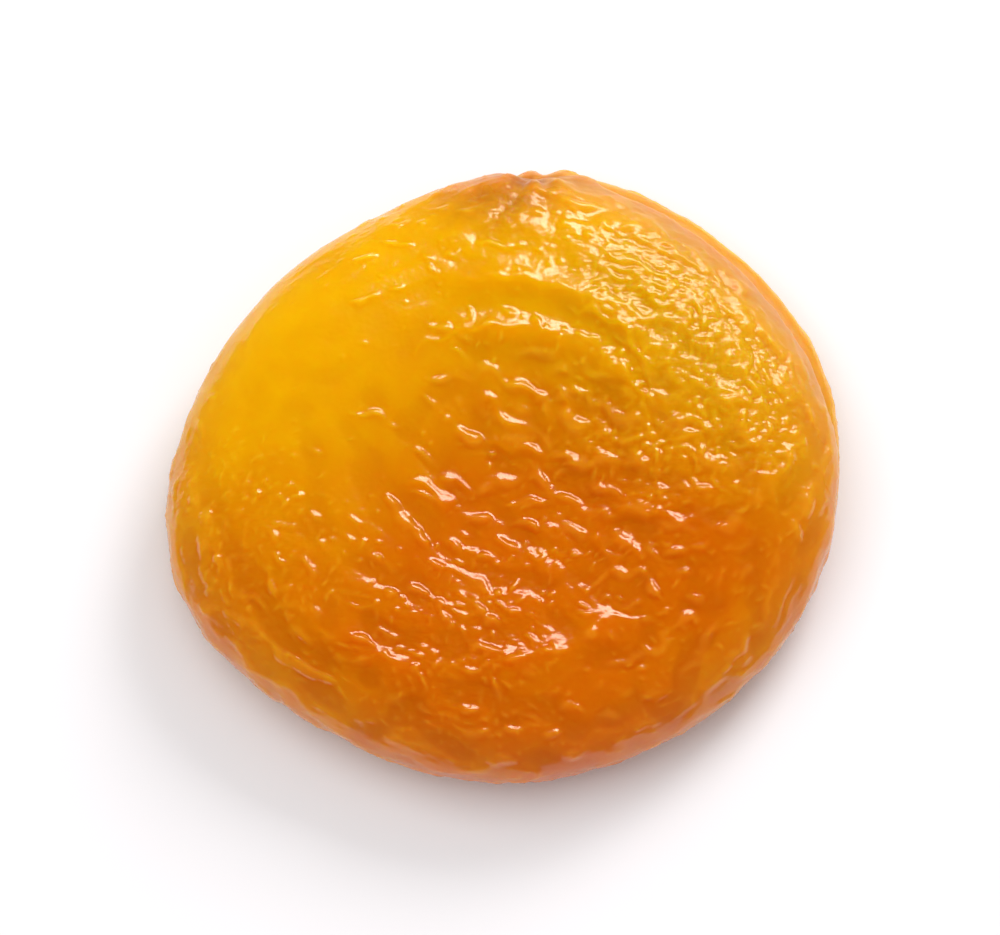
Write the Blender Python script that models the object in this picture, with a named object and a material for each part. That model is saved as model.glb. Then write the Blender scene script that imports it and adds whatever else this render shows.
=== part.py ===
"""A whole dried apricot: a stoned fruit that was pressed flat, with two lips round the slit in its rim.

It lies on a small flat spot under its middle, where the origin is. +X runs along its length, +Y points to
the stem end and +Z up. Lengths below are in millimetres and angles in degrees, unless a name says otherwise,
and the mesh is made in metres.
"""

import math

import bmesh
import bpy
import numpy as np

METRES = 0.001

# Overall size
MEAN_RADIUS = 22.2
SEAM_HEIGHT = 4.3
CROWN_HEIGHT = 8.6
BELLY_DOME = 1.15  # how much lower the belly hangs in the middle than a flat one would
FLAT_SPOT_SINK = 0.08  # how far the round underside would reach below the flat spot
FLAT_SPOT_EDGE = 0.3  # the height over which the skin bends away from the flat spot

# The outline seen from above: (waves round the rim, how far they reach, where the first crest lies)
OUTLINE_WAVES = (
    (1, 0.71, 331.0),
    (2, 0.9, 21.0),
    (3, 0.4, 80.0),
    (4, 0.3, 7.0),
    (5, 0.12, 64.0),
    (6, 0.15, 22.0),
)

# The profile from the middle to the rim, as exponents of a superellipse: more is flatter, then squarer
CROWN_PROFILE = (5.0, 2.2)
BELLY_PROFILE = (5.5, 2.3)
RIM_START = 0.75  # the share of the radius where the rim begins to curve down
RIM_CROWDING = 1.5  # how much closer the mesh's points lie in the rim than in the middle

# How the rim waves up and down: (waves round the rim, height, where the first crest lies)
RIM_WAVES = ((2, 0.55, 35.0), (3, 0.3, 160.0), (5, 0.14, 70.0))
BELLY_WAVE_START = 0.5  # the share of the radius inside which the belly lies level

# The slit that the stone came out of: it runs along the rim from the stem end to the right
SLIT_MIDDLE = 48.0
SLIT_HALF_LENGTH = 64.0
SLIT_END_SHARPNESS = 1.25  # above 1, the slit is fully open along its middle
SLIT_DEPTH = 1.5
LIP_ROUNDING = 1.8
UPPER_LIP_SETBACK = 0.8
LOWER_LIP_REACH = 0.9

# The soft groove that goes on round the rest of the rim, deepest beside the slit: (waves round the rim, depth,
# where the first crest lies)
SEAM_DEPTHS = ((0, 0.15, 0.0), (1, 0.12, 48.0))
SEAM_HALF_WIDTH = 0.7

# Broad swellings and hollows of the two faces: (x, y, radius, height)
CROWN_FORMS = (
    (1.5, -3.5, 7.0, -1.15),
    (-9.5, 9.0, 6.0, 0.4),
    (10.5, 9.0, 4.6, 0.5),
    (14.0, -6.0, 5.0, 0.4),
    (-13.5, -7.0, 5.5, 0.3),
)
BELLY_FORMS = ((7.0, 12.0, 4.0, 0.5), (-14.0, 4.0, 4.5, 0.45), (4.0, -14.0, 4.5, 0.5))

# Long folds of the crown, in arcs round its sunken middle: (x, y, radius, from, to, height, half width)
LONG_FOLDS = (
    (0.0, -3.0, 11.7, 30.0, 114.0, 0.42, 0.8),
    (-1.0, -2.0, 14.6, 28.0, 108.0, 0.36, 0.8),
    (2.0, -4.0, 15.6, -4.0, 38.0, 0.3, 0.8),
    (-2.0, -2.0, 14.0, 205.0, 262.0, 0.28, 0.9),
    (1.0, -6.0, 8.4, 250.0, 330.0, 0.3, 0.8),
)
FOLD_VALLEY = 0.15  # the depth of the valley beside a fold, as a share of the fold's height
FOLD_VALLEY_OFFSET = 1.9  # how far the valley lies from the crest, in half widths
FOLD_END_SHARPNESS = 4.0  # the higher, the more suddenly a fold ends

# The stem end, where the skin puckers round the scar
STEM_ANGLE = 83.0
STEM_ABOVE_SEAM = 1.2
STEM_DENT = 0.3
STEM_DENT_RADIUS = 1.6
STEM_COLLAR = 0.65
STEM_COLLAR_RADIUS = 3.1
STEM_COLLAR_WIDTH = 1.1
STEM_PLEATS = 7
STEM_PLEAT_DEPTH = 0.4  # the share of the collar's height that comes and goes with the pleats

# The wrinkles: short wave trains laid all over the skin, each with its own direction
WRINKLE_SEED = 2
WRINKLE_COUNT = 460
WRINKLE_LENGTH = (2.9, 4.2)  # from one crest to the next: the shortest and the longest
WRINKLE_REACH = (2.9, 1.6)  # how far a train reaches along its crests and across them
WRINKLE_HEIGHT = 0.2
WRINKLE_STEEPNESS = 1.2  # above 1, more of the skin is at the full height or depth
WRINKLE_BROADNESS = 0.35  # how much broader the crests are than the valleys
WRINKLE_SPREAD = 34.0  # how far a train's direction strays from its neighbours'
WRINKLE_SLANT = -22.0  # which way the wrinkles run in the middle; at the rim they run along it
WRINKLE_START = 0.5  # how far above the surface the wrinkles have their full height
SLIT_SMOOTHING = 0.12  # how much of the rim in the slit has no wrinkles, as a share of the whole height
# Places that the wrinkles leave smoother: (x, y, radius, share of their height lost)
SMOOTH_PATCHES = ((-12.0, 9.0, 6.5, 0.7), (-15.0, -2.0, 5.0, 0.5), (2.5, 11.0, 5.0, 0.65))

# The mesh: squares along each edge of the cube that it starts as
SQUARES = 30
PROFILE_STEPS = 3001
NUDGE = 0.004  # the turn, in radians, over which a slope is measured

SKIN_COLOUR = (0.86, 0.33, 0.02, 1.0)
SKIN_ROUGHNESS = 0.3


def waves(angle, crests):
    """A sum of cosine waves round the rim."""
    return sum(height * np.cos(count * (angle - math.radians(first))) for count, height, first in crests)


def hump(distance, radius):
    """1 at no distance, and falling smoothly to nothing past about twice the radius."""
    return np.exp(-0.5 * (distance / radius) ** 2)


def smooth(x):
    """0 below 0, 1 above 1, and an even S between."""
    x = np.clip(x, 0.0, 1.0)
    return x * x * (3.0 - 2.0 * x)


def unit(vectors):
    """The same vectors at a length of 1."""
    return vectors / np.maximum(np.linalg.norm(vectors, axis=-1, keepdims=True), 1e-9)


def profile_table(exponents):
    """(share of the face's skin, radius, height) from its middle to the rim, each from 0 to 1."""
    turn = np.linspace(0.0, 1.0, PROFILE_STEPS) ** 2 * math.pi / 2
    radius = np.sin(turn) ** (2 / exponents[0])
    height = np.cos(turn) ** (2 / exponents[1])
    step = np.hypot(np.diff(radius) * MEAN_RADIUS, np.diff(height) * SEAM_HEIGHT)
    middle = (radius[1:] + radius[:-1]) / 2
    crowding = 1.0 + (RIM_CROWDING - 1.0) * smooth((middle - RIM_START) / (1.0 - RIM_START))
    skin = np.concatenate([[0.0], np.cumsum(middle * step * crowding)])
    return skin / skin[-1], radius, height


CROWN_TABLE = profile_table(CROWN_PROFILE)
BELLY_TABLE = profile_table(BELLY_PROFILE)


def slit_share(angle):
    """How open the slit is: 1 along its middle and 0 past its ends."""
    away = np.abs((angle - math.radians(SLIT_MIDDLE) + math.pi) % (2 * math.pi) - math.pi)
    return smooth(SLIT_END_SHARPNESS * (1.0 - away / math.radians(SLIT_HALF_LENGTH)))


def upper_lip_radius(angle):
    """How far out the crown's lip reaches: the slit sets it back from the outline."""
    return MEAN_RADIUS + waves(angle, OUTLINE_WAVES) - UPPER_LIP_SETBACK * slit_share(angle)


def stem_place():
    """The middle of the stem scar."""
    angle = np.array(math.radians(STEM_ANGLE))
    radius = upper_lip_radius(angle)
    height = SEAM_HEIGHT + waves(angle, RIM_WAVES) + STEM_ABOVE_SEAM
    return np.array([radius * np.cos(angle), radius * np.sin(angle), height])


def swellings(x, y, forms):
    """The height of the broad swellings and hollows at (x, y)."""
    total = np.zeros_like(x)
    for form_x, form_y, radius, height in forms:
        total += height * hump(np.hypot(x - form_x, y - form_y), radius)
    return total


def long_folds(x, y):
    """The height of the long curved folds at (x, y): a crest, with a valley along its inner side."""
    total = np.zeros_like(x)
    for middle_x, middle_y, radius, first, last, height, half_width in LONG_FOLDS:
        angle = np.degrees(np.arctan2(y - middle_y, x - middle_x))
        off_middle = np.abs((angle - (first + last) / 2 + 180.0) % 360.0 - 180.0)
        along = smooth((0.5 - off_middle / (last - first)) * FOLD_END_SHARPNESS)
        across = np.hypot(x - middle_x, y - middle_y) - radius
        valley = FOLD_VALLEY * hump(across + FOLD_VALLEY_OFFSET * half_width, half_width)
        total += height * along * (hump(across, half_width) - valley)
    return total


def stem_pucker(points):
    """How far the skin round the stem scar is drawn in (below 0) or pushed out (above 0)."""
    offset = points - stem_place()
    distance = np.linalg.norm(offset, axis=-1)
    round_scar = np.arctan2(offset[..., 2], offset[..., 0])
    pleats = 1.0 - STEM_PLEAT_DEPTH * (1.0 - np.cos(STEM_PLEATS * round_scar))
    collar = STEM_COLLAR * pleats * hump(distance - STEM_COLLAR_RADIUS, STEM_COLLAR_WIDTH)
    return collar - STEM_DENT * hump(distance, STEM_DENT_RADIUS)


def set_down(height):
    """Heights with all that would sink below the surface pressed flat onto it, with a soft edge."""
    bend = np.clip(height, 0.0, FLAT_SPOT_EDGE)
    return bend**2 / (2 * FLAT_SPOT_EDGE) + np.maximum(height - FLAT_SPOT_EDGE, 0.0)


def smooth_form(direction):
    """Each point of the fruit without its wrinkles, for unit directions from the middle of a ball."""
    angle = np.arctan2(direction[..., 1], direction[..., 0])
    share = 1.0 - np.abs(direction[..., 2])
    upper = direction[..., 2] >= 0
    crown_profile = [np.interp(share, CROWN_TABLE[0], column) for column in CROWN_TABLE[1:]]
    belly_profile = [np.interp(share, BELLY_TABLE[0], column) for column in BELLY_TABLE[1:]]
    outward, rise = np.where(upper, crown_profile, belly_profile)

    slit = slit_share(angle)
    depth = np.where(upper, CROWN_HEIGHT - SEAM_HEIGHT, SEAM_HEIGHT + FLAT_SPOT_SINK - BELLY_DOME)
    closing = 1.0 - np.clip(depth * rise / LIP_ROUNDING, 0.0, 1.0)
    lip = upper_lip_radius(angle) + np.where(upper, 0.0, (UPPER_LIP_SETBACK + LOWER_LIP_REACH) * slit)
    bottom_of_slit = upper_lip_radius(angle) - SLIT_DEPTH * slit
    radius = lip * outward - (lip - bottom_of_slit) * (1.0 - np.sqrt(1.0 - closing**2))
    radius -= waves(angle, SEAM_DEPTHS) * hump(depth * rise, SEAM_HALF_WIDTH)

    x = radius * np.cos(angle)
    y = radius * np.sin(angle)
    fade = np.sqrt(rise)
    belly_waves = smooth((outward - BELLY_WAVE_START) / (1.0 - BELLY_WAVE_START))
    rim_wave = waves(angle, RIM_WAVES) * np.where(upper, outward**2, belly_waves)
    crown = depth * rise + fade * (swellings(x, y, CROWN_FORMS) + long_folds(x, y))
    belly = fade * swellings(x, y, BELLY_FORMS) - depth * rise - BELLY_DOME * (1.0 - outward**2)
    points = np.stack([x, y, SEAM_HEIGHT + rim_wave + np.where(upper, crown, belly)], axis=-1)
    points[..., :2] *= (1.0 + stem_pucker(points) / MEAN_RADIUS)[..., None]
    points[..., 2] = set_down(points[..., 2])
    return points


def facing(direction):
    """The way the skin faces, from its slope along and across each direction."""
    nearest_pole = np.where(np.abs(direction[..., 2:]) < 0.9, [0.0, 0.0, 1.0], [1.0, 0.0, 0.0])
    aside = unit(np.cross(direction, nearest_pole))
    slopes = [
        smooth_form(unit(direction + NUDGE * way)) - smooth_form(unit(direction - NUDGE * way))
        for way in (aside, np.cross(direction, aside))
    ]
    return unit(np.cross(*slopes))


def wrinkle_directions(place, normal):
    """Unit vectors along the wrinkles at each place: slanting in the middle and along the rim at the rim."""
    out = np.clip(np.hypot(place[:, 0], place[:, 1]) / MEAN_RADIUS, 0.0, 1.0) ** 2
    along_rim = np.arctan2(place[:, 1], place[:, 0]) + math.pi / 2
    slant = math.radians(WRINKLE_SLANT)
    twice = np.arctan2(
        out * np.sin(2 * along_rim) + (1.0 - out) * math.sin(2 * slant),
        out * np.cos(2 * along_rim) + (1.0 - out) * math.cos(2 * slant),
    )
    level = np.stack([np.cos(twice / 2), np.sin(twice / 2), np.zeros(len(place))], axis=1)
    return unit(level - normal * np.sum(level * normal, axis=1, keepdims=True))


def wrinkles(points):
    """The wrinkles at each point of the smooth form, from -1 in a valley to 1 on a crest."""
    draw = np.random.RandomState(WRINKLE_SEED)
    direction = unit(draw.normal(size=(WRINKLE_COUNT, 3)))
    stray = np.radians(WRINKLE_SPREAD) * draw.normal(size=(WRINKLE_COUNT, 1))
    phase = 2 * math.pi * draw.uniform(size=WRINKLE_COUNT)
    length = draw.uniform(*WRINKLE_LENGTH, WRINKLE_COUNT)

    place, normal = smooth_form(direction), facing(direction)
    straight = wrinkle_directions(place, normal)
    along = straight * np.cos(stray) + np.cross(normal, straight) * np.sin(stray)
    across = np.cross(normal, along)
    total = np.zeros(len(points))
    for i in range(WRINKLE_COUNT):
        offset = points - place[i]
        b, c = offset @ across[i], offset @ normal[i]
        near = (offset @ along[i]) ** 2 / WRINKLE_REACH[0] ** 2 + (b**2 + c**2) / WRINKLE_REACH[1] ** 2
        total += np.exp(-0.5 * near) * np.cos(2 * math.pi * b / length[i] + phase[i])
    level = np.tanh(WRINKLE_STEEPNESS * total)
    return level + WRINKLE_BROADNESS * (1.0 - level**2)


def skin(direction):
    """Each point of the finished skin."""
    points = smooth_form(direction)
    above_surface = smooth(points[:, 2] / WRINKLE_START)
    in_slit = slit_share(np.arctan2(points[:, 1], points[:, 0])) * hump(direction[:, 2], SLIT_SMOOTHING)
    height = WRINKLE_HEIGHT * above_surface * (1.0 - in_slit)
    for x, y, radius, lost in SMOOTH_PATCHES:
        height *= 1.0 - lost * hump(np.hypot(points[:, 0] - x, points[:, 1] - y), radius)
    points = points + facing(direction) * (height * wrinkles(points))[:, None]
    points[:, 2] = np.maximum(points[:, 2], 0.0)
    return points


def clear_scene():
    for old in list(bpy.data.objects):
        bpy.data.objects.remove(old, do_unlink=True)


def skin_material():
    material = bpy.data.materials.new("dried_apricot_skin")
    material.use_nodes = True
    shader = material.node_tree.nodes["Principled BSDF"]
    shader.inputs["Base Color"].default_value = SKIN_COLOUR
    shader.inputs["Roughness"].default_value = SKIN_ROUGHNESS
    shader.inputs["Metallic"].default_value = 0.0
    return material


def ball_of_squares():
    """A cube cut into squares, and the direction of each of its points, with the squares spread evenly."""
    ball = bmesh.new()
    bmesh.ops.create_cube(ball, size=2.0)
    bmesh.ops.subdivide_edges(ball, edges=ball.edges[:], cuts=SQUARES - 1, use_grid_fill=True)
    on_cube = np.array([point.co for point in ball.verts])
    return ball, unit(np.tan(on_cube * math.pi / 4))


def make_apricot():
    ball, direction = ball_of_squares()
    for point, place in zip(ball.verts, skin(direction) * METRES):
        point.co = place
    bmesh.ops.triangulate(ball, faces=ball.faces[:])
    mesh = bpy.data.meshes.new("apricot")
    ball.to_mesh(mesh)
    ball.free()
    mesh.shade_smooth()
    mesh.materials.append(skin_material())
    return bpy.data.objects.new("apricot", mesh)


def main():
    clear_scene()
    fruit = bpy.data.collections.new("dried_apricot")
    bpy.context.scene.collection.children.link(fruit)
    fruit.objects.link(make_apricot())


main()
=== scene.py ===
"""The looks of the dried apricot: its fine skin, floor, light and camera.

The fruit is rebuilt here from the solid's own named values, in a mesh fine enough for its small wrinkles.
Lengths of the fruit are in millimetres and angles in degrees, unless a name says otherwise. The material and
the studio are in metres.
"""

import math

import bmesh
import bpy
import numpy as np
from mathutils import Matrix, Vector


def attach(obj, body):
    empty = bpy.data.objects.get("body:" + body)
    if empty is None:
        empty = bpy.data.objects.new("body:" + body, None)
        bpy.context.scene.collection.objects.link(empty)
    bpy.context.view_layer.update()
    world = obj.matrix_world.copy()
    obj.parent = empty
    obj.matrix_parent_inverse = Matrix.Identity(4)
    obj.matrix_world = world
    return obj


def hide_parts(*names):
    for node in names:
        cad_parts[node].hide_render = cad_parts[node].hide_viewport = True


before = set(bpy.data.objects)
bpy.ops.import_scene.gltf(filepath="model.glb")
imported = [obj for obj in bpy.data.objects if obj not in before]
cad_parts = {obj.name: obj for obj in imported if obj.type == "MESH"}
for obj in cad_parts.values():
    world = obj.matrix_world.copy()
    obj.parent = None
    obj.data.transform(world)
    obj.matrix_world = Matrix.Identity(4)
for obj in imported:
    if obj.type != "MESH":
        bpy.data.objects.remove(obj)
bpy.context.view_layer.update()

METRES = 0.001

# Overall size
MEAN_RADIUS = 22.2
SEAM_HEIGHT = 4.3
CROWN_HEIGHT = 8.6
BELLY_DOME = 1.15  # how much lower the belly hangs in the middle than a flat one would
FLAT_SPOT_SINK = 0.08  # how far the round underside would reach below the flat spot
FLAT_SPOT_EDGE = 0.3  # the height over which the skin bends away from the flat spot

# The outline seen from above: (waves round the rim, how far they reach, where the first crest lies)
OUTLINE_WAVES = (
    (1, 0.71, 331.0),
    (2, 0.9, 21.0),
    (3, 0.4, 80.0),
    (4, 0.3, 7.0),
    (5, 0.12, 64.0),
    (6, 0.15, 22.0),
)

# The profile from the middle to the rim, as exponents of a superellipse: more is flatter, then squarer
CROWN_PROFILE = (5.0, 2.2)
BELLY_PROFILE = (5.5, 2.3)
RIM_START = 0.75  # the share of the radius where the rim begins to curve down
RIM_CROWDING = 1.5  # how much closer the mesh's points lie in the rim than in the middle

# How the rim waves up and down: (waves round the rim, height, where the first crest lies)
RIM_WAVES = ((2, 0.55, 35.0), (3, 0.3, 160.0), (5, 0.14, 70.0))
BELLY_WAVE_START = 0.5  # the share of the radius inside which the belly lies level

# The slit that the stone came out of: it runs along the rim from the stem end to the right
SLIT_MIDDLE = 48.0
SLIT_HALF_LENGTH = 64.0
SLIT_END_SHARPNESS = 1.25  # above 1, the slit is fully open along its middle
SLIT_DEPTH = 1.5
LIP_ROUNDING = 1.8
UPPER_LIP_SETBACK = 0.8
LOWER_LIP_REACH = 0.9

# The soft groove that goes on round the rest of the rim, deepest beside the slit:
# (waves round the rim, depth, where the first crest lies)
SEAM_DEPTHS = ((0, 0.15, 0.0), (1, 0.12, 48.0))
SEAM_HALF_WIDTH = 0.7

# Broad swellings and hollows of the two faces: (x, y, radius, height)
CROWN_FORMS = (
    (1.5, -3.5, 7.0, -1.15),
    (-9.5, 9.0, 6.0, 0.4),
    (10.5, 9.0, 4.6, 0.5),
    (14.0, -6.0, 5.0, 0.4),
    (-13.5, -7.0, 5.5, 0.3),
)
BELLY_FORMS = ((7.0, 12.0, 4.0, 0.5), (-14.0, 4.0, 4.5, 0.45), (4.0, -14.0, 4.5, 0.5))

# Long folds of the crown, in arcs round its sunken middle: (x, y, radius, from, to, height, half width)
LONG_FOLDS = (
    (0.0, -3.0, 11.7, 30.0, 114.0, 0.42, 0.8),
    (-1.0, -2.0, 14.6, 28.0, 108.0, 0.36, 0.8),
    (2.0, -4.0, 15.6, -4.0, 38.0, 0.3, 0.8),
    (-2.0, -2.0, 14.0, 205.0, 262.0, 0.28, 0.9),
    (1.0, -6.0, 8.4, 250.0, 330.0, 0.3, 0.8),
)
FOLD_VALLEY = 0.15  # the depth of the valley beside a fold, as a share of the fold's height
FOLD_VALLEY_OFFSET = 1.9  # how far the valley lies from the crest, in half widths
FOLD_END_SHARPNESS = 4.0  # the higher, the more suddenly a fold ends

# The stem end, where the skin puckers round the scar
STEM_ANGLE = 83.0
STEM_ABOVE_SEAM = 1.2
STEM_DENT = 0.3
STEM_DENT_RADIUS = 1.6
STEM_COLLAR = 0.65
STEM_COLLAR_RADIUS = 3.1
STEM_COLLAR_WIDTH = 1.1
STEM_PLEATS = 7
STEM_PLEAT_DEPTH = 0.4  # the share of the collar's height that comes and goes with the pleats

# The wrinkles are short wave trains laid all over the skin, each with its own direction. The length is that of
# the shortest and the longest wave, the reach goes along the crests and across them, and the spread is how far
# a train's direction strays from its neighbours'.
BROAD_WRINKLES = dict(seed=2, count=460, length=(2.9, 4.2), reach=(2.9, 1.6), height=0.09, spread=34.0)
WORM_RIDGES = dict(seed=11, count=2600, length=(1.5, 2.1), reach=(1.8, 0.75), height=0.25, spread=32.0)
FINE_RIDGES = dict(seed=13, count=12000, length=(0.7, 1.0), reach=(0.7, 0.36), height=0.17, spread=70.0)
CRINKLES = dict(seed=17, count=5200, length=(1.1, 1.7), reach=(1.1, 0.5), height=0.15, spread=90.0)
TRAIN_END = 3.2  # how far from its middle a train is followed, in its longer reach

# Ridges stand up only where the trains add up to more than this, in standard deviations. A zone adds to it, so
# that a zone below 0 has more ridges, and one above 0 has fewer: (x, y, radius, change)
WORM_THRESHOLD = 0.25
WORM_ZONES = (
    (-12.0, 8.5, 6.0, 2.0),
    (-15.0, 0.0, 4.0, 0.4),
    (0.0, 3.0, 4.5, -0.7),
    (1.0, 11.5, 3.5, 0.7),
    (10.0, 13.5, 3.0, 0.6),
    (-8.0, -3.0, 4.0, 0.5),
    (12.0, 1.5, 7.0, -0.9),
    (-13.0, -9.0, 5.0, -0.2),
)
FINE_THRESHOLD = 0.6
FINE_ZONES = (
    (-12.0, 8.0, 7.0, 1.5),
    (17.0, 2.0, 5.0, -0.7),
    (-3.0, -14.0, 5.5, -0.8),
    (-5.0, -3.0, 5.0, 0.5),
    (2.0, 13.0, 4.5, 0.3),
    (6.0, 0.0, 6.0, -0.6),
    (-16.5, -6.5, 5.0, -0.9),
    (12.0, 3.0, 4.5, -0.5),
    (-18.5, 0.0, 3.5, -0.7),
)
# Where the skin is crinkled all over like creased film: (x, y, radius, share)
CRINKLE_ZONES = (
    (7.5, 12.8, 2.6, 0.8),
    (11.5, 14.5, 1.8, 0.6),
    (12.8, 9.5, 3.2, 1.0),
    (16.5, 4.5, 2.6, 0.7),
    (19.0, -1.0, 2.0, 0.4),
    (0.6, 18.0, 1.6, 0.6),
)
CRINKLE_SHARPNESS = 0.5  # the higher, the narrower the creases
CRINKLE_LEVELLING = 0.6  # the share of the worm ridges' height that the crinkled skin loses

# Thin crests along the folds and across the middle, from point to point: (height, half width, points)
CREST_LINES = (
    (0.09, 0.2, ((-6.6, 6.0), (-5.0, 7.9), (-2.1, 8.9), (0.6, 9.1), (2.6, 8.8))),
    (0.19, 0.3, ((6.8, 6.9), (8.3, 5.7), (9.5, 4.2), (10.4, 2.4), (11.0, 0.6))),
    (0.27, 0.26, ((4.4, 10.2), (6.4, 10.0), (8.0, 9.0), (9.2, 7.4), (10.4, 5.6), (11.4, 4.2))),
    (0.1, 0.36, (
        (-4.6, 12.2), (-2.0, 12.6), (1.0, 12.6), (3.4, 12.0),
        (5.4, 11.2), (7.8, 9.9), (9.6, 8.2), (11.3, 6.2),
    )),
    (0.24, 0.36, ((-2.2, 4.7), (-0.7, 3.6), (0.6, 2.4), (2.4, 1.2))),
    (0.24, 0.34, ((0.4, 5.4), (1.6, 4.7), (3.0, 3.8))),
    (0.24, 0.34, ((3.6, 4.2), (4.6, 3.6), (5.2, 2.4))),
    (0.22, 0.3, ((-1.4, 0.8), (0.4, 0.8), (1.8, 0.4), (3.6, 0.4))),
    (0.24, 0.34, ((9.4, 4.6), (10.6, 3.6), (12.2, 2.4))),
    (0.22, 0.34, ((11.0, 2.6), (12.6, 2.4), (14.2, 1.7), (16.2, 0.9))),
    (0.2, 0.34, ((12.4, 4.9), (14.8, 4.4), (17.0, 3.3))),
    (0.2, 0.34, ((10.0, 1.4), (12.2, 1.3), (14.4, 0.8))),
    (0.2, 0.36, ((10.6, 6.8), (11.9, 5.4), (13.2, 4.4))),
    (0.18, 0.34, ((8.6, 9.5), (11.2, 9.4), (14.0, 9.1))),
    (0.21, 0.34, ((5.6, -3.4), (7.6, -4.1), (9.8, -4.0), (12.2, -4.7), (15.0, -5.2))),
    (0.2, 0.36, ((2.2, -4.5), (3.6, -5.3), (5.2, -6.7))),
    (0.18, 0.36, ((1.6, -6.6), (3.0, -7.8), (4.9, -9.2))),
    (0.18, 0.34, ((5.9, -5.4), (7.0, -6.5), (8.3, -7.7))),
    (0.2, 0.34, ((7.4, -5.5), (8.5, -6.2), (9.8, -7.3))),
    (0.2, 0.3, ((-6.4, -1.6), (-5.0, -2.3), (-3.8, -3.3), (-2.8, -4.2))),
    (0.2, 0.3, ((-4.2, -1.2), (-3.0, -1.8), (-1.8, -2.7))),
    (0.22, 0.34, ((17.4, -2.6), (18.6, -1.6), (19.6, -0.2), (20.2, 1.0))),
)
CREST_WAVER = 0.22  # how far a crest strays from its line
CREST_WAVER_LENGTH = 2.3  # from one bend of a crest to the next but one
CREST_UNDERLAY = 0.5  # the share of the other wrinkles' height that shows through a crest
RIDGE_WINDING = 0.15  # how far a ridge winds to either side
RIDGE_WINDING_LENGTH = 2.6  # from one bend of a ridge to the next but one
RIDGE_WINDING_DRIFT = 0.7  # the pace of the second, slanting winding, as a share of the first one's
RIDGE_ONSET = 1.6  # a ridge is near its full height this far above the threshold, in standard deviations
RIM_CALM = 0.4  # the share of the smaller ridges' height that is left at the rim
RIM_CALM_WIDTH = 0.3  # how far the calm reaches to either side of the rim, as a share of the whole height
WRINKLE_STEEPNESS = 1.2  # above 1, more of the skin is at the full height or depth
WRINKLE_BROADNESS = 0.35  # how much broader the crests are than the valleys
WRINKLE_SLANT = -22.0  # which way the wrinkles run in the middle; at the rim they run along it
WRINKLE_START = 0.5  # how far above the surface the wrinkles have their full height
SLIT_SMOOTHING = 0.05  # how much of the rim in the slit has no wrinkles, as a share of the whole height
# Places that the wrinkles leave smoother: (x, y, radius, share of their height lost)
SMOOTH_PATCHES = ((-12.0, 9.0, 6.5, 0.7), (-15.0, -2.0, 5.0, 0.3), (2.5, 11.0, 5.0, 0.65))

# Where the flesh is a deeper orange, partly its own tone and partly painted shade: the share everywhere, and
# what a zone adds as (x, y, radius, share)
DEEP_EVERYWHERE = 0.15
# Painted shade: besides the flesh's own tone, these zones make the flesh a deeper orange towards the bottom
# and the lower rim, and the two below 0 paint the upper left and upper right paler.
DEEP_TONE_AND_SHADE_ZONES = (
    (2.0, -4.0, 8.0, 0.45),
    (-3.0, 4.0, 7.0, 0.2),
    (6.0, 6.0, 3.5, 0.1),
    (5.0, -15.0, 8.5, 0.75),
    (16.0, -7.0, 7.0, 0.45),
    (-12.0, -13.0, 8.0, 0.5),
    (-12.0, 10.0, 8.0, -0.15),
    (11.0, 11.0, 6.0, -0.15),
    (-0.5, 20.5, 2.5, 0.5),
    (-21.0, -8.0, 5.0, 0.25),
    (0.0, -23.0, 7.0, 0.2),
    (22.0, -6.0, 4.0, 0.2),
)
# The brown of the stem scar, and where it spreads over the crown: (x, y, radius, share)
SCAR_RADIUS = 1.8
SCAR_ZONES = ((-2.4, 18.6, 1.5, 0.3), (0.8, 19.0, 1.5, 0.35), (3.5, 21.3, 0.5, 0.9))

# The band on the rim, strongest along the slit: a painted sheen in a pinkish colour, on skin that is also
# rougher there. Its place and width are shares of the whole height.
LIP_BAND_PLACE = 0.12
LIP_BAND_WIDTH = 0.15
LIP_BAND_ELSEWHERE = 0.2  # how strong the band is away from the slit

# The mesh: squares along each edge of the cube that it starts as
SQUARES = 128
TOP_CROWDING = 0.3  # how far the ball's points are moved up, in its radii, so that more lie on the crown
PROFILE_STEPS = 3001
NUDGE = 0.004  # the turn, in radians, over which a slope is measured


def waves(angle, crests):
    """A sum of cosine waves round the rim."""
    return sum(height * np.cos(count * (angle - math.radians(first))) for count, height, first in crests)


def hump(distance, radius):
    """1 at no distance, and falling smoothly to nothing past about twice the radius."""
    return np.exp(-0.5 * (distance / radius) ** 2)


def smooth(x):
    """0 below 0, 1 above 1, and an even S between."""
    x = np.clip(x, 0.0, 1.0)
    return x * x * (3.0 - 2.0 * x)


def unit(vectors):
    """The same vectors at a length of 1."""
    return vectors / np.maximum(np.linalg.norm(vectors, axis=-1, keepdims=True), 1e-9)


def profile_table(exponents):
    """(share of the face's skin, radius, height) from its middle to the rim, each from 0 to 1."""
    turn = np.linspace(0.0, 1.0, PROFILE_STEPS) ** 2 * math.pi / 2
    radius = np.sin(turn) ** (2 / exponents[0])
    height = np.cos(turn) ** (2 / exponents[1])
    step = np.hypot(np.diff(radius) * MEAN_RADIUS, np.diff(height) * SEAM_HEIGHT)
    middle = (radius[1:] + radius[:-1]) / 2
    crowding = 1.0 + (RIM_CROWDING - 1.0) * smooth((middle - RIM_START) / (1.0 - RIM_START))
    skin = np.concatenate([[0.0], np.cumsum(middle * step * crowding)])
    return skin / skin[-1], radius, height


CROWN_TABLE = profile_table(CROWN_PROFILE)
BELLY_TABLE = profile_table(BELLY_PROFILE)


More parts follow.
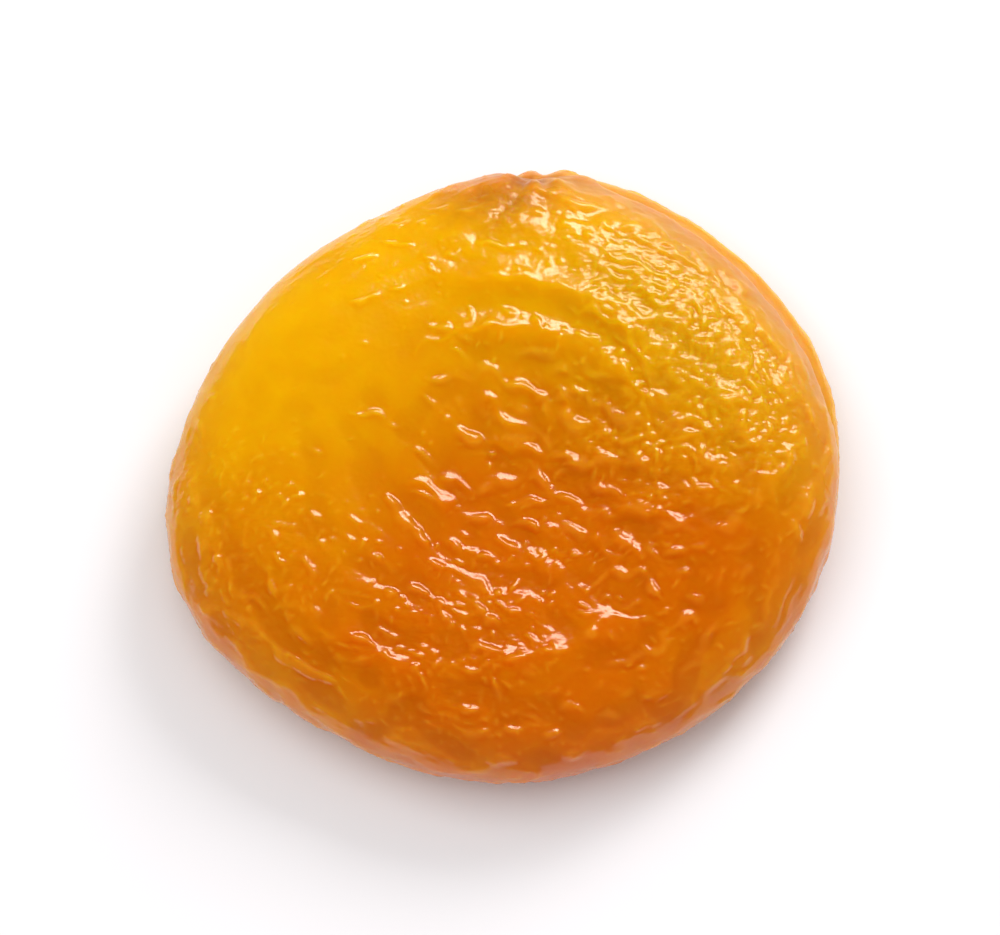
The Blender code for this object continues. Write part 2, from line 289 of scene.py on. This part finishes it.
def slit_share(angle):
    """How open the slit is: 1 along its middle and 0 past its ends."""
    away = np.abs((angle - math.radians(SLIT_MIDDLE) + math.pi) % (2 * math.pi) - math.pi)
    return smooth(SLIT_END_SHARPNESS * (1.0 - away / math.radians(SLIT_HALF_LENGTH)))


def upper_lip_radius(angle):
    """How far out the crown's lip reaches: the slit sets it back from the outline."""
    return MEAN_RADIUS + waves(angle, OUTLINE_WAVES) - UPPER_LIP_SETBACK * slit_share(angle)


def stem_place():
    """The middle of the stem scar."""
    angle = np.array(math.radians(STEM_ANGLE))
    radius = upper_lip_radius(angle)
    height = SEAM_HEIGHT + waves(angle, RIM_WAVES) + STEM_ABOVE_SEAM
    return np.array([radius * np.cos(angle), radius * np.sin(angle), height])


def swellings(x, y, forms):
    """The height of the broad swellings and hollows at (x, y)."""
    total = np.zeros_like(x)
    for form_x, form_y, radius, height in forms:
        total += height * hump(np.hypot(x - form_x, y - form_y), radius)
    return total


def long_folds(x, y):
    """The height of the long curved folds at (x, y): a crest, with a valley along its inner side."""
    total = np.zeros_like(x)
    for middle_x, middle_y, radius, first, last, height, half_width in LONG_FOLDS:
        angle = np.degrees(np.arctan2(y - middle_y, x - middle_x))
        off_middle = np.abs((angle - (first + last) / 2 + 180.0) % 360.0 - 180.0)
        along = smooth((0.5 - off_middle / (last - first)) * FOLD_END_SHARPNESS)
        across = np.hypot(x - middle_x, y - middle_y) - radius
        valley = FOLD_VALLEY * hump(across + FOLD_VALLEY_OFFSET * half_width, half_width)
        total += height * along * (hump(across, half_width) - valley)
    return total


def stem_pucker(points):
    """How far the skin round the stem scar is drawn in (below 0) or pushed out (above 0)."""
    offset = points - stem_place()
    distance = np.linalg.norm(offset, axis=-1)
    round_scar = np.arctan2(offset[..., 2], offset[..., 0])
    pleats = 1.0 - STEM_PLEAT_DEPTH * (1.0 - np.cos(STEM_PLEATS * round_scar))
    collar = STEM_COLLAR * pleats * hump(distance - STEM_COLLAR_RADIUS, STEM_COLLAR_WIDTH)
    return collar - STEM_DENT * hump(distance, STEM_DENT_RADIUS)


def set_down(height):
    """Heights with all that would sink below the surface pressed flat onto it, with a soft edge."""
    bend = np.clip(height, 0.0, FLAT_SPOT_EDGE)
    return bend**2 / (2 * FLAT_SPOT_EDGE) + np.maximum(height - FLAT_SPOT_EDGE, 0.0)


def smooth_form(direction):
    """Each point of the fruit without its wrinkles, for unit directions from the middle of a ball."""
    angle = np.arctan2(direction[..., 1], direction[..., 0])
    share = 1.0 - np.abs(direction[..., 2])
    upper = direction[..., 2] >= 0
    crown_profile = [np.interp(share, CROWN_TABLE[0], column) for column in CROWN_TABLE[1:]]
    belly_profile = [np.interp(share, BELLY_TABLE[0], column) for column in BELLY_TABLE[1:]]
    outward, rise = np.where(upper, crown_profile, belly_profile)

    slit = slit_share(angle)
    depth = np.where(upper, CROWN_HEIGHT - SEAM_HEIGHT, SEAM_HEIGHT + FLAT_SPOT_SINK - BELLY_DOME)
    closing = 1.0 - np.clip(depth * rise / LIP_ROUNDING, 0.0, 1.0)
    lip = upper_lip_radius(angle) + np.where(upper, 0.0, (UPPER_LIP_SETBACK + LOWER_LIP_REACH) * slit)
    bottom_of_slit = upper_lip_radius(angle) - SLIT_DEPTH * slit
    radius = lip * outward - (lip - bottom_of_slit) * (1.0 - np.sqrt(1.0 - closing**2))
    radius -= waves(angle, SEAM_DEPTHS) * hump(depth * rise, SEAM_HALF_WIDTH)

    x = radius * np.cos(angle)
    y = radius * np.sin(angle)
    fade = np.sqrt(rise)
    belly_waves = smooth((outward - BELLY_WAVE_START) / (1.0 - BELLY_WAVE_START))
    rim_wave = waves(angle, RIM_WAVES) * np.where(upper, outward**2, belly_waves)
    crown = depth * rise + fade * (swellings(x, y, CROWN_FORMS) + long_folds(x, y))
    belly = fade * swellings(x, y, BELLY_FORMS) - depth * rise - BELLY_DOME * (1.0 - outward**2)
    points = np.stack([x, y, SEAM_HEIGHT + rim_wave + np.where(upper, crown, belly)], axis=-1)
    points[..., :2] *= (1.0 + stem_pucker(points) / MEAN_RADIUS)[..., None]
    points[..., 2] = set_down(points[..., 2])
    return points


def facing(direction):
    """The way the skin faces, from its slope along and across each direction."""
    nearest_pole = np.where(np.abs(direction[..., 2:]) < 0.9, [0.0, 0.0, 1.0], [1.0, 0.0, 0.0])
    aside = unit(np.cross(direction, nearest_pole))
    slopes = [
        smooth_form(unit(direction + NUDGE * way)) - smooth_form(unit(direction - NUDGE * way))
        for way in (aside, np.cross(direction, aside))
    ]
    return unit(np.cross(*slopes))


def wrinkle_directions(place, normal):
    """Unit vectors along the wrinkles at each place: slanting in the middle and along the rim at the rim."""
    out = np.clip(np.hypot(place[:, 0], place[:, 1]) / MEAN_RADIUS, 0.0, 1.0) ** 2
    along_rim = np.arctan2(place[:, 1], place[:, 0]) + math.pi / 2
    slant = math.radians(WRINKLE_SLANT)
    twice = np.arctan2(
        out * np.sin(2 * along_rim) + (1.0 - out) * math.sin(2 * slant),
        out * np.cos(2 * along_rim) + (1.0 - out) * math.cos(2 * slant),
    )
    level = np.stack([np.cos(twice / 2), np.sin(twice / 2), np.zeros(len(place))], axis=1)
    return unit(level - normal * np.sum(level * normal, axis=1, keepdims=True))


def wrinkles(points, trains):
    """The sum of one size of wave trains at each point of the smooth form."""
    count = trains["count"]
    reach_along, reach_across = trains["reach"]
    draw = np.random.RandomState(trains["seed"])
    direction = unit(draw.normal(size=(count, 3)))
    stray = np.radians(trains["spread"]) * draw.normal(size=(count, 1))
    phase = 2 * math.pi * draw.uniform(size=count)
    length = draw.uniform(*trains["length"], count)

    place, normal = smooth_form(direction), facing(direction)
    straight = wrinkle_directions(place, normal)
    along = straight * np.cos(stray) + np.cross(normal, straight) * np.sin(stray)
    across = np.cross(normal, along)
    by_x = np.argsort(points[:, 0])
    sorted_points = points[by_x]
    end = TRAIN_END * max(reach_along, reach_across)
    first = np.searchsorted(sorted_points[:, 0], place[:, 0] - end)
    last = np.searchsorted(sorted_points[:, 0], place[:, 0] + end)
    total = np.zeros(len(points))
    for i in range(count):
        near_here = slice(first[i], last[i])
        offset = sorted_points[near_here] - place[i]
        b, c = offset @ across[i], offset @ normal[i]
        near = (offset @ along[i]) ** 2 / reach_along**2 + (b**2 + c**2) / reach_across**2
        total[near_here] += np.exp(-0.5 * near) * np.cos(2 * math.pi * b / length[i] + phase[i])
    level = np.empty(len(points))
    level[by_x] = total
    return level


def winding(points):
    """The points moved to and fro a little, so that the ridges made there wind."""
    turn = 2 * math.pi / RIDGE_WINDING_LENGTH
    x, y, z = points.T
    move_x = np.sin(turn * y) + np.sin(turn * (x + z) * RIDGE_WINDING_DRIFT)
    move_y = np.sin(turn * x) + np.sin(turn * (y - z) * RIDGE_WINDING_DRIFT)
    return points + RIDGE_WINDING * np.stack([move_x, move_y, np.zeros_like(z)], axis=1)


def swollen(total):
    """Broad wrinkles, from -1 in a valley to 1 on a crest."""
    level = np.tanh(WRINKLE_STEEPNESS * total)
    return level + WRINKLE_BROADNESS * (1.0 - level**2)


def ridged(total, threshold):
    """Lone narrow ridges, from 0 between them to 1 on their crests."""
    rise = np.maximum(total / total.std() - threshold, 0.0)
    return 1.0 - np.exp(-((rise / RIDGE_ONSET) ** 2))


def creased(total):
    """Creases that cross each other, from 0 between them to 1 on their sharp crests."""
    return np.maximum(1.0 - CRINKLE_SHARPNESS * np.abs(total) / total.std(), 0.0)


def crest_lines(x, y):
    """The height of the thin crests at (x, y)."""
    turn = 2 * math.pi / CREST_WAVER_LENGTH
    x, y = x + CREST_WAVER * np.sin(turn * y), y + CREST_WAVER * np.sin(turn * x)
    total = np.zeros_like(x)
    for height, half_width, line in CREST_LINES:
        line = np.array(line)
        lengths = np.linalg.norm(np.diff(line, axis=0), axis=1)
        nearest = np.full(len(x), np.inf)
        share = np.zeros(len(x))
        for i, (start, step) in enumerate(zip(line, np.diff(line, axis=0))):
            along = np.clip(((x - start[0]) * step[0] + (y - start[1]) * step[1]) / lengths[i] ** 2, 0.0, 1.0)
            away = np.hypot(x - start[0] - along * step[0], y - start[1] - along * step[1])
            share = np.where(away < nearest, (lengths[:i].sum() + along * lengths[i]) / lengths.sum(), share)
            nearest = np.minimum(nearest, away)
        ends = smooth((0.5 - np.abs(share - 0.5)) * FOLD_END_SHARPNESS)
        total = np.maximum(total, height * ends * hump(nearest, half_width))
    return total


def ball_of_squares():
    """A cube cut into squares, and the direction of each of its points, with more of them facing up."""
    ball = bmesh.new()
    bmesh.ops.create_cube(ball, size=2.0)
    bmesh.ops.subdivide_edges(ball, edges=ball.edges[:], cuts=SQUARES - 1, use_grid_fill=True)
    direction = unit(np.tan(np.array([point.co for point in ball.verts]) * math.pi / 4))
    return ball, unit(direction + [0.0, 0.0, TOP_CROWDING])


def paint(mesh, name, values):
    """Gives each point a number from 0 to 1 that the skin's material reads."""
    layer = mesh.attributes.new(name, "FLOAT", "POINT")
    layer.data.foreach_set("value", np.clip(values, 0.0, 1.0).astype(np.float32))


def make_skin():
    """The fruit with all its wrinkles, and the numbers that its material reads painted on its points."""
    ball, direction = ball_of_squares()
    points = smooth_form(direction)
    x, y = points[:, 0], points[:, 1]
    above_rim = direction[:, 2]
    slit = slit_share(np.arctan2(y, x))

    strength = smooth(points[:, 2] / WRINKLE_START) * (1.0 - slit * hump(above_rim, SLIT_SMOOTHING))
    calmer = 1.0 - (1.0 - RIM_CALM) * hump(above_rim, RIM_CALM_WIDTH)
    patches = strength.copy()
    for patch_x, patch_y, radius, lost in SMOOTH_PATCHES:
        patches *= 1.0 - lost * hump(np.hypot(x - patch_x, y - patch_y), radius)
    swell = swollen(wrinkles(points, BROAD_WRINKLES))
    wound = winding(points)
    worms = ridged(wrinkles(wound, WORM_RIDGES), WORM_THRESHOLD + swellings(x, y, WORM_ZONES))
    fines = ridged(wrinkles(wound, FINE_RIDGES), FINE_THRESHOLD + swellings(x, y, FINE_ZONES))
    crinkled = strength * np.clip(swellings(x, y, CRINKLE_ZONES), 0.0, 1.0) * (above_rim > 0)
    creases = creased(wrinkles(wound, CRINKLES))
    crests = crest_lines(x, y) * (above_rim > 0)

    height = BROAD_WRINKLES["height"] * patches * swell
    height += WORM_RIDGES["height"] * strength * calmer * (1.0 - CRINKLE_LEVELLING * crinkled) * worms
    height += FINE_RIDGES["height"] * strength * calmer * fines
    height += CRINKLES["height"] * crinkled * creases
    height = np.maximum(height, crests + CREST_UNDERLAY * height)
    raised = points + facing(direction) * height[:, None]
    raised[:, 2] = np.maximum(raised[:, 2], 0.0)

    mesh = bpy.data.meshes.new("apricot_skin")
    ball.to_mesh(mesh)
    ball.free()
    mesh.vertices.foreach_set("co", (raised * METRES).astype(np.float32).ravel())
    mesh.update()
    mesh.shade_smooth()

    # Partly painted shade: the deeper orange also stands in for shade towards the bottom and the lower rim.
    paint(mesh, "deep_orange_and_shade", DEEP_EVERYWHERE + swellings(x, y, DEEP_TONE_AND_SHADE_ZONES))
    # Painted shade: marks the valleys of the broad wrinkles, which the material paints darker.
    paint(mesh, "valley", 0.5 - 0.5 * swell * patches)
    # Painted highlight: marks the crests of the ridges, which the material paints paler.
    paint(mesh, "ridge", np.maximum(worms, fines) * strength)
    paint(mesh, "dense", np.maximum(crinkled, strength * smooth(-swellings(x, y, FINE_ZONES))))
    # Besides their creases and roughness, the crinkled places are painted darker, a painted shade.
    paint(mesh, "crinkled", crinkled)
    # Painted sheen: the rim band is painted pinkish, and the same number makes the skin rougher there.
    along_slit = LIP_BAND_ELSEWHERE + (1.0 - LIP_BAND_ELSEWHERE) * slit
    paint(mesh, "lip", hump(above_rim - LIP_BAND_PLACE, LIP_BAND_WIDTH) * along_slit)
    scar = hump(np.linalg.norm(points - stem_place(), axis=1), SCAR_RADIUS)
    paint(mesh, "scar", scar + swellings(x, y, SCAR_ZONES) * (above_rim > 0))
    skin = bpy.data.objects.new("apricot_skin", mesh)
    bpy.context.scene.collection.objects.link(skin)
    return skin


class Nodes:
    """Makes and links the nodes of one material."""

    def __init__(self, name):
        self.material = bpy.data.materials.new(name)
        self.material.use_nodes = True
        self.tree = self.material.node_tree
        self.shader = self.tree.nodes["Principled BSDF"]

    def put(self, socket, value):
        """Links a node's output to a socket, or sets the socket to a fixed value."""
        if isinstance(value, bpy.types.NodeSocket):
            self.tree.links.new(value, socket)
        else:
            socket.default_value = value

    def attribute(self, name):
        """A number painted on the mesh's points."""
        node = self.tree.nodes.new("ShaderNodeAttribute")
        node.attribute_name = name
        return node.outputs["Fac"]

    def noise(self, size, detail, squeeze=(1.0, 1.0, 1.0)):
        """Noise whose patches are about size metres across, and less along an axis that is squeezed."""
        place = self.tree.nodes.new("ShaderNodeTexCoord")
        mapping = self.tree.nodes.new("ShaderNodeMapping")
        mapping.inputs["Scale"].default_value = squeeze
        self.tree.links.new(place.outputs["Object"], mapping.inputs["Vector"])
        node = self.tree.nodes.new("ShaderNodeTexNoise")
        self.tree.links.new(mapping.outputs["Vector"], node.inputs["Vector"])
        node.inputs["Scale"].default_value = 1.0 / size
        node.inputs["Detail"].default_value = detail
        return node.outputs["Fac"]

    def math(self, operation, *values):
        """The result of one operation on two numbers."""
        node = self.tree.nodes.new("ShaderNodeMath")
        node.operation = operation
        for socket, value in zip(node.inputs, values):
            self.put(socket, value)
        return node.outputs[0]

    def ranged(self, value, old_low, old_high, low, high):
        """A number that goes from low to high while value goes from old_low to old_high."""
        node = self.tree.nodes.new("ShaderNodeMapRange")
        for socket, number in zip(node.inputs, (value, old_low, old_high, low, high)):
            self.put(socket, number)
        return node.outputs[0]

    def mix(self, share, first, second):
        """The first colour, with a share of the second mixed in."""
        node = self.tree.nodes.new("ShaderNodeMix")
        node.data_type = "RGBA"
        self.put(node.inputs["Factor"], share)
        self.put(node.inputs[6], first)
        self.put(node.inputs[7], second)
        return node.outputs[2]

    def bump(self, height, distance, normal=None):
        """A facing tilted as if height from 0 to 1 were a relief of distance metres."""
        node = self.tree.nodes.new("ShaderNodeBump")
        self.put(node.inputs["Height"], height)
        node.inputs["Distance"].default_value = distance
        if normal:
            self.put(node.inputs["Normal"], normal)
        return node.outputs[0]


# Colours of the flesh, as linear light
YELLOW_FLESH = (0.79, 0.43, 0.001, 1.0)
ORANGE_FLESH = (0.62, 0.145, 0.001, 1.0)
# Painted shade: a darker olive-yellow laid on the crinkled skin of the shoulder
SHOULDER_SHADE_FLESH = (0.64, 0.33, 0.004, 1.0)
# Painted shade: a darker orange laid into the valleys of the broad wrinkles
VALLEY_SHADE_FLESH = (0.56, 0.115, 0.001, 1.0)
# Painted highlight: a paler colour laid onto the crests of the ridges
RIDGE_HIGHLIGHT_FLESH = (0.80, 0.40, 0.04, 1.0)
# Painted sheen: a pinkish colour laid on the band along the rim
LIP_SHEEN_FLESH = (0.48, 0.21, 0.085, 1.0)
SCAR_BROWN = (0.36, 0.11, 0.008, 1.0)


# How much of each colour shows where its number is 1
SHOULDER_SHADE_SHARE = 0.75
RIDGE_HIGHLIGHT_SHARE = 0.12
LIP_SHEEN_SHARE = 0.85

# Sizes of the noise patches and depths of the reliefs, in metres
MOTTLE_SIZE = 0.004
BLOTCH_SIZE = 0.0012
GLOSS_SIZE = 0.002
CREASE_SIZE = 0.0009
CREASE_SQUEEZE = (1.0, 1.7, 1.0)
CREASE_DEPTH = 0.00012
GRAIN_SIZE = 0.0006
GRAIN_DEPTH = 0.00003
COARSE_DETAIL = 1.0
FINE_DETAIL = 3.0

# What each number is turned into: (low, high, value at the low end, value at the high end)
MOTTLE_TO_DEEP = (0.3, 0.7, -0.1, 0.1)
VALLEY_SHADE_TO_SHARE = (0.45, 1.0, 0.0, 0.5)
BLOTCH_TO_SHARE = (0.35, 0.6, 0.3, 1.0)
NOISE_TO_ROUGHNESS = (0.35, 0.65, 0.11, 0.17)

ROUGHER_PLACES = (("lip", 0.45), ("scar", 0.12), ("crinkled", 0.11))  # what each adds to the roughness

# What is the same all over the skin
SHADER_VALUES = {
    "IOR": 1.45,
    "Specular IOR Level": 0.6,
    "Subsurface Weight": 1.0,
    "Subsurface Radius": (1.0, 0.4, 0.08),
    "Subsurface Scale": 0.0045,
    "Coat Weight": 0.15,
    "Coat Roughness": 0.15,
    "Coat IOR": 1.5,
}


def skin_material():
    """Moist, glossy flesh that light goes into: yellow, orange in places and brown at the stem scar. Painted
    shade darkens its valleys, its crinkled shoulder and partly its lower parts, painted highlights lighten its
    ridges, and a painted sheen lies on the rim band.
    """
    nodes = Nodes("dried_apricot_skin")
    mottle = nodes.noise(MOTTLE_SIZE, FINE_DETAIL)
    # The deeper orange is partly the flesh's own tone and partly painted shade.
    deep_orange_and_shade = nodes.math("ADD", nodes.attribute("deep_orange_and_shade"), nodes.ranged(mottle, *MOTTLE_TO_DEEP))
    flesh = nodes.mix(deep_orange_and_shade, YELLOW_FLESH, ORANGE_FLESH)
    # Painted shade: the valleys of the broad wrinkles are painted a darker orange where the flesh is deep
    # orange.
    valley = nodes.ranged(nodes.attribute("valley"), *VALLEY_SHADE_TO_SHARE)
    flesh = nodes.mix(nodes.math("MULTIPLY", nodes.attribute("deep_orange_and_shade"), valley), flesh, VALLEY_SHADE_FLESH)
    # Painted shade on the crinkled shoulder, a painted highlight on the ridges and a painted sheen on the rim
    # band.
    for name, share, colour in (
        ("crinkled", SHOULDER_SHADE_SHARE, SHOULDER_SHADE_FLESH),
        ("ridge", RIDGE_HIGHLIGHT_SHARE, RIDGE_HIGHLIGHT_FLESH),
        ("lip", LIP_SHEEN_SHARE, LIP_SHEEN_FLESH),
    ):
        flesh = nodes.mix(nodes.math("MULTIPLY", nodes.attribute(name), share), flesh, colour)
    blotch = nodes.ranged(nodes.noise(BLOTCH_SIZE, FINE_DETAIL), *BLOTCH_TO_SHARE)
    flesh = nodes.mix(nodes.math("MULTIPLY", nodes.attribute("scar"), blotch), flesh, SCAR_BROWN)

    gloss = nodes.ranged(nodes.noise(GLOSS_SIZE, FINE_DETAIL), *NOISE_TO_ROUGHNESS)
    for name, rougher in ROUGHER_PLACES:
        gloss = nodes.math("ADD", gloss, nodes.math("MULTIPLY", nodes.attribute(name), rougher))

    crinkle = nodes.noise(CREASE_SIZE, COARSE_DETAIL, CREASE_SQUEEZE)
    grain = nodes.bump(nodes.math("MULTIPLY", crinkle, nodes.attribute("dense")), CREASE_DEPTH)
    grain = nodes.bump(nodes.noise(GRAIN_SIZE, COARSE_DETAIL), GRAIN_DEPTH, grain)

    shader = nodes.shader
    nodes.put(shader.inputs["Base Color"], flesh)
    nodes.put(shader.inputs["Roughness"], gloss)
    nodes.put(shader.inputs["Normal"], grain)
    nodes.put(shader.inputs["Coat Normal"], grain)
    for name, value in SHADER_VALUES.items():
        shader.inputs[name].default_value = value
    return nodes.material


# The studio, in metres and watts
MIDDLE = (0.0, 0.0, 0.005)  # what the lights and the camera are turned to
FLOOR_HALF_WIDTH = 1.5
FLOOR_GAP = 0.00002  # how far the floor lies under the fruit, so that the two surfaces don't coincide
FLOOR_COLOUR = (0.88, 0.87, 0.88, 1.0)
FLOOR_ROUGHNESS = 0.8
WORLD_COLOUR = (1.0, 1.0, 1.0, 1.0)
WORLD_STRENGTH = 0.6

# The lights: (name, place, size, power, colour, whether it lights the flesh, whether it shows as glints)
LIGHTS = (
    ("key", (0.17, 0.28, 0.24), (0.18, 0.18), 0.95, (1.0, 0.97, 0.98), True, False),
    ("glints", (0.106, 0.288, 0.27), (0.26, 0.11), 1.18, (1.0, 0.8, 0.68), False, True),
    ("top", (-0.12, 0.02, 0.45), (0.4, 0.4), 0.9, (1.0, 0.98, 1.0), True, False),
)

# The camera: it looks down on the upper face, as the photo does
CAMERA_ELEVATION = 73.0
CAMERA_DISTANCE = 0.38
CAMERA_LENS = 200.0
CAMERA_SENSOR = 36.0


def turned_to_middle(place):
    """The turn that points a light or a camera at the middle of the fruit."""
    return (Vector(MIDDLE) - Vector(place)).to_track_quat("-Z", "Y").to_euler()


def make_floor():
    """A plain pale floor."""
    square = bmesh.new()
    bmesh.ops.create_grid(square, x_segments=1, y_segments=1, size=FLOOR_HALF_WIDTH)
    mesh = bpy.data.meshes.new("floor")
    square.to_mesh(mesh)
    square.free()
    material = bpy.data.materials.new("floor")
    material.use_nodes = True
    shader = material.node_tree.nodes["Principled BSDF"]
    shader.inputs["Base Color"].default_value = FLOOR_COLOUR
    shader.inputs["Roughness"].default_value = FLOOR_ROUGHNESS
    mesh.materials.append(material)
    floor = bpy.data.objects.new("floor", mesh)
    floor.location.z = -FLOOR_GAP
    bpy.context.scene.collection.objects.link(floor)
    return floor


def make_world():
    """An even white surrounding that gives soft light but no reflections."""
    world = bpy.data.worlds.new("studio")
    world.use_nodes = True
    background = world.node_tree.nodes["Background"]
    background.inputs["Color"].default_value = WORLD_COLOUR
    background.inputs["Strength"].default_value = WORLD_STRENGTH
    world.cycles_visibility.glossy = False
    bpy.context.scene.world = world
    bpy.context.scene.view_settings.view_transform = "Standard"


def add_light(name, place, size, power, colour, lights_flesh, shows_as_glints):
    """A rectangular light."""
    data = bpy.data.lights.new(name, "AREA")
    data.shape = "RECTANGLE"
    data.size, data.size_y = size
    data.energy = power
    data.color = colour
    light = bpy.data.objects.new(name, data)
    light.location = place
    light.rotation_euler = turned_to_middle(place)
    light.visible_diffuse = lights_flesh
    light.visible_glossy = shows_as_glints
    bpy.context.scene.collection.objects.link(light)


def add_camera():
    """The main camera, in front of the fruit and high above it."""
    data = bpy.data.cameras.new("camera")
    data.lens = CAMERA_LENS
    data.sensor_width = CAMERA_SENSOR
    camera = bpy.data.objects.new("camera", data)
    elevation = math.radians(CAMERA_ELEVATION)
    back = CAMERA_DISTANCE * math.cos(elevation)
    up = CAMERA_DISTANCE * math.sin(elevation)
    camera.location = (0.0, -back, MIDDLE[2] + up)
    camera.rotation_euler = turned_to_middle(camera.location)
    bpy.context.scene.collection.objects.link(camera)
    bpy.context.scene.camera = camera


skin = make_skin()
skin.data.materials.append(skin_material())
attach(skin, "root")
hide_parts("apricot")

floor = make_floor()

make_world()
for row in LIGHTS:
    add_light(*row)
add_camera()
